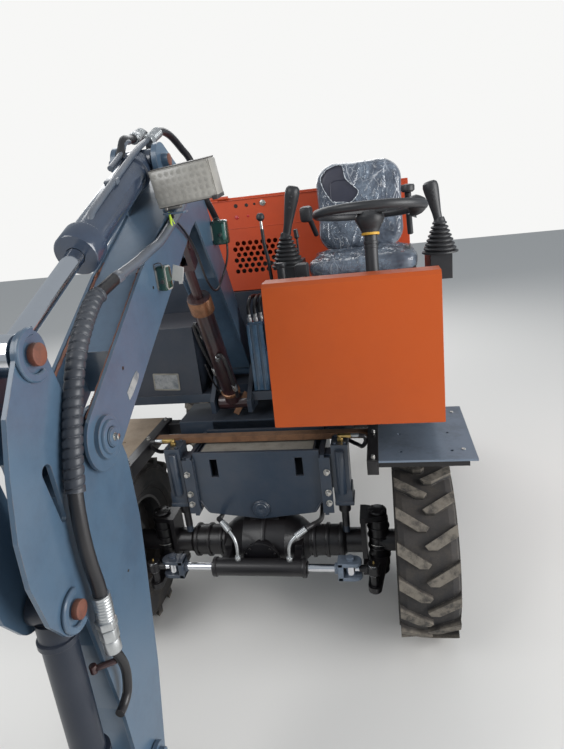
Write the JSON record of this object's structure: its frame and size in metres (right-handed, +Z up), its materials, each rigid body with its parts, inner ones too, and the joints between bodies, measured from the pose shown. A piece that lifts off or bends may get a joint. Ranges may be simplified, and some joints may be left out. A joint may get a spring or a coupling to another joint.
{
  "type": "small wheeled excavator with backhoe boom",
  "caption": "Small wheeled excavator: open operator's station and engine hood on a slewing upper, two-piece digging boom with bucket, steered front axle.",
  "frame": {"origin": "on the ground, at the middle of the footprint's length, on the machine's middle plane", "axes": "+Z up, -Y to the front that the boom points to, +X to the operator's left"},
  "size_m": [1.68, 3.184, 1.98],
  "materials": {
    "frame_paint": "satin blue-grey paint, dusty and scratched at the edges",
    "boom_paint": "satin blue-grey paint with weld lines",
    "pipe_paint": "satin blue-grey paint on a steel pipe",
    "machined_steel": "machined steel with grease",
    "axle_black": "black paint with oil and dust",
    "bare_plate": "bare grey steel plate, mill finish",
    "dusty_plate": "steel plate under tan dust and rust",
    "chrome_rod": "hard chrome",
    "cylinder_rust": "worn dark paint over red-brown rust",
    "cylinder_dark": "glossy dark grey paint",
    "tyre_rubber": "dusty black rubber",
    "rim_paint": "black paint with dust",
    "engine_grey": "cast iron",
    "hood_red": "glossy red-orange paint",
    "tank_navy": "satin dark navy paint",
    "console_orange": "glossy bright orange paint",
    "black_plastic": "black moulded plastic and rubber",
    "seat_cover": "dark seat cover under clear film",
    "lamp_body": "grey-beige lens and dark green bodies",
    "hose_rubber": "black hydraulic hose with spiral guard"
  },
  "bodies": {
    "undercarriage": {"chassis_frame": "frame_paint", "front_bracket": "frame_paint", "slew_ring": "machined_steel", "front_axle": "axle_black", "rear_axle": "axle_black", "drive_line": "axle_black", "mudguard_left": "bare_plate", "mudguard_right": "dusty_plate", "guard_frames": "axle_black", "cross_bar": "dusty_plate", "steer_cylinder": "axle_black", "axle_lock_cylinders": "frame_paint"},
    "knuckle_left": {"knuckle_left": "axle_black"},
    "knuckle_right": {"knuckle_right": "axle_black"},
    "steer_rod": {"steer_rod": "chrome_rod"},
    "wheel_front_left": {"tyre_front_left": "tyre_rubber", "rim_front_left": "rim_paint"},
    "wheel_front_right": {"tyre_front_right": "tyre_rubber", "rim_front_right": "rim_paint"},
    "wheel_rear_left": {"tyre_rear_left": "tyre_rubber", "rim_rear_left": "rim_paint"},
    "wheel_rear_right": {"tyre_rear_right": "tyre_rubber", "rim_rear_right": "rim_paint"},
    "upper": {"upper_frame": "frame_paint", "counterweight": "frame_paint", "engine_block": "engine_grey", "hood_panels": "hood_red", "front_tank": "tank_navy", "rear_tank": "tank_navy", "bulkhead": "tank_navy", "valve_stand": "boom_paint", "operator_floor": "bare_plate", "console": "console_orange", "steering_column": "black_plastic", "seat_base": "black_plastic", "seat_cushion": "seat_cover", "seat_back": "seat_cover", "control_pods": "black_plastic", "joysticks": "black_plastic"},
    "hood": {"hood_cover": "hood_red"},
    "steering_wheel": {"steering_wheel": "black_plastic"},
    "boom": {"boom_body": "boom_paint", "lamps": "lamp_body", "boom_pipe": "pipe_paint", "arm_hose": "hose_rubber"},
    "boom_barrel": {"boom_barrel": "cylinder_rust"},
    "boom_rod": {"boom_rod": "chrome_rod"},
    "arm_barrel": {"arm_barrel": "cylinder_dark"},
    "arm_rod": {"arm_rod": "chrome_rod"},
    "arm": {"arm_body": "boom_paint"},
    "bucket_barrel": {"bucket_barrel": "cylinder_dark", "cylinder_pipe": "axle_black"},
    "bucket_rod": {"bucket_rod": "chrome_rod"},
    "rocker": {"rocker": "boom_paint"},
    "tipping_link": {"tipping_link": "boom_paint"},
    "bucket": {"bucket_shell": "frame_paint"}
  },
  "joints": [
    {"name": "steer", "type": "hinge", "parent": "undercarriage", "child": "knuckle_left", "pos_m": [0.475, -0.2765, 0.371], "axis": [0, 0, 1], "range_deg": [-30, 30]},
    {"name": "steer_right", "type": "hinge", "parent": "undercarriage", "child": "knuckle_right", "pos_m": [-0.475, -0.2765, 0.371], "axis": [0, 0, 1], "range_deg": [-30.5, 30.5]},
    {"name": "steer_slide", "type": "slide", "parent": "undercarriage", "child": "steer_rod", "axis": [1, 0, 0], "range_m": [-0.1051, 0.1051]},
    {"name": "roll_front_left", "type": "hinge", "parent": "knuckle_left", "child": "wheel_front_left", "pos_m": [0.654, -0.2765, 0.371], "axis": [1, 0, 0], "continuous": true},
    {"name": "roll_front_right", "type": "hinge", "parent": "knuckle_right", "child": "wheel_front_right", "pos_m": [-0.654, -0.2765, 0.371], "axis": [1, 0, 0], "continuous": true},
    {"name": "roll_rear_left", "type": "hinge", "parent": "undercarriage", "child": "wheel_rear_left", "pos_m": [0.654, 1.2235, 0.371], "axis": [1, 0, 0], "continuous": true},
    {"name": "roll_rear_right", "type": "hinge", "parent": "undercarriage", "child": "wheel_rear_right", "pos_m": [-0.654, 1.2235, 0.371], "axis": [1, 0, 0], "continuous": true},
    {"name": "slew", "type": "hinge", "parent": "undercarriage", "child": "upper", "pos_m": [0, 0.4735, 0.95], "axis": [0, 0, 1], "continuous": true},
    {"name": "hood_lift", "type": "hinge", "parent": "upper", "child": "hood", "pos_m": [0.17, 0.3835, 1.804], "axis": [1, 0, 0], "range_deg": [0, 55]},
    {"name": "steering_wheel_turn", "type": "hinge", "parent": "upper", "child": "steering_wheel", "pos_m": [0.513, -0.3535, 1.715], "axis": [0, 0.1392, 0.9903], "continuous": true},
    {"name": "boom_lift", "type": "hinge", "parent": "upper", "child": "boom", "pos_m": [-0.135, 0.1185, 1.06], "axis": [-1, 0, 0], "range_deg": [-38, 24]},
    {"name": "arm_swing", "type": "hinge", "parent": "boom", "child": "arm", "pos_m": [-0.135, -1.2765, 1.347], "axis": [1, 0, 0], "range_deg": [-55, 17], "deforming": ["arm_hose"]},
    {"name": "bucket_tip", "type": "hinge", "parent": "arm", "child": "bucket", "pos_m": [-0.135, -1.3765, 0.35], "axis": [-1, 0, 0], "range_deg": [-35, 70]},
    {"name": "boom_cylinder_swing", "type": "hinge", "parent": "upper", "child": "boom_barrel", "pos_m": [-0.135, -0.0515, 0.94], "axis": [1, 0, 0], "range_deg": [-24.34, 38.25]},
    {"name": "boom_cylinder_stroke", "type": "slide", "parent": "boom_barrel", "child": "boom_rod", "axis": [0, -0.4502, 0.893], "range_m": [-0.1337, 0.0852]},
    {"name": "arm_cylinder_swing", "type": "hinge", "parent": "boom", "child": "arm_barrel", "pos_m": [-0.135, -0.6415, 1.93], "axis": [1, 0, 0], "range_deg": [-1.71, 4.41]},
    {"name": "arm_cylinder_stroke", "type": "slide", "parent": "arm_barrel", "child": "arm_rod", "axis": [0, -0.9126, -0.409], "range_m": [-0.2395, 0.0754]},
    {"name": "bucket_cylinder_swing", "type": "hinge", "parent": "arm", "child": "bucket_barrel", "pos_m": [-0.135, -1.4955, 1.081], "axis": [1, 0, 0], "range_deg": [-1.54, 1.02]},
    {"name": "bucket_cylinder_stroke", "type": "slide", "parent": "bucket_barrel", "child": "bucket_rod", "axis": [0, -0.0242, -0.9997], "range_m": [-0.1341, 0.068]},
    {"name": "rocker_swing", "type": "hinge", "parent": "arm", "child": "rocker", "pos_m": [-0.135, -1.3545, 0.505], "axis": [1, 0, 0], "range_deg": [-50.36, 25.43]},
    {"name": "link_swing", "type": "hinge", "parent": "rocker", "child": "tipping_link", "pos_m": [-0.135, -1.5105, 0.462], "axis": [1, 0, 0], "range_deg": [-31.81, 63.13]}
  ],
  "couplings": [
    {"joint": "steer_right", "follows": "steer", "ratio": 1},
    {"joint": "steer_slide", "follows": "steer", "m_per_rad": 0.197},
    {"joint": "boom_cylinder_swing", "follows": "boom_lift", "ratio": -0.9933},
    {"joint": "boom_cylinder_stroke", "follows": "boom_lift", "m_per_rad": 0.19865},
    {"joint": "arm_cylinder_swing", "follows": "arm_swing", "ratio": -0.0711},
    {"joint": "arm_cylinder_stroke", "follows": "arm_swing", "m_per_rad": 0.2474},
    {"joint": "bucket_cylinder_swing", "follows": "bucket_tip", "ratio": -0.0149},
    {"joint": "bucket_cylinder_stroke", "follows": "bucket_tip", "m_per_rad": -0.1081},
    {"joint": "rocker_swing", "follows": "bucket_tip", "ratio": -0.7123},
    {"joint": "link_swing", "follows": "bucket_tip", "ratio": 0.8947}
  ]
}
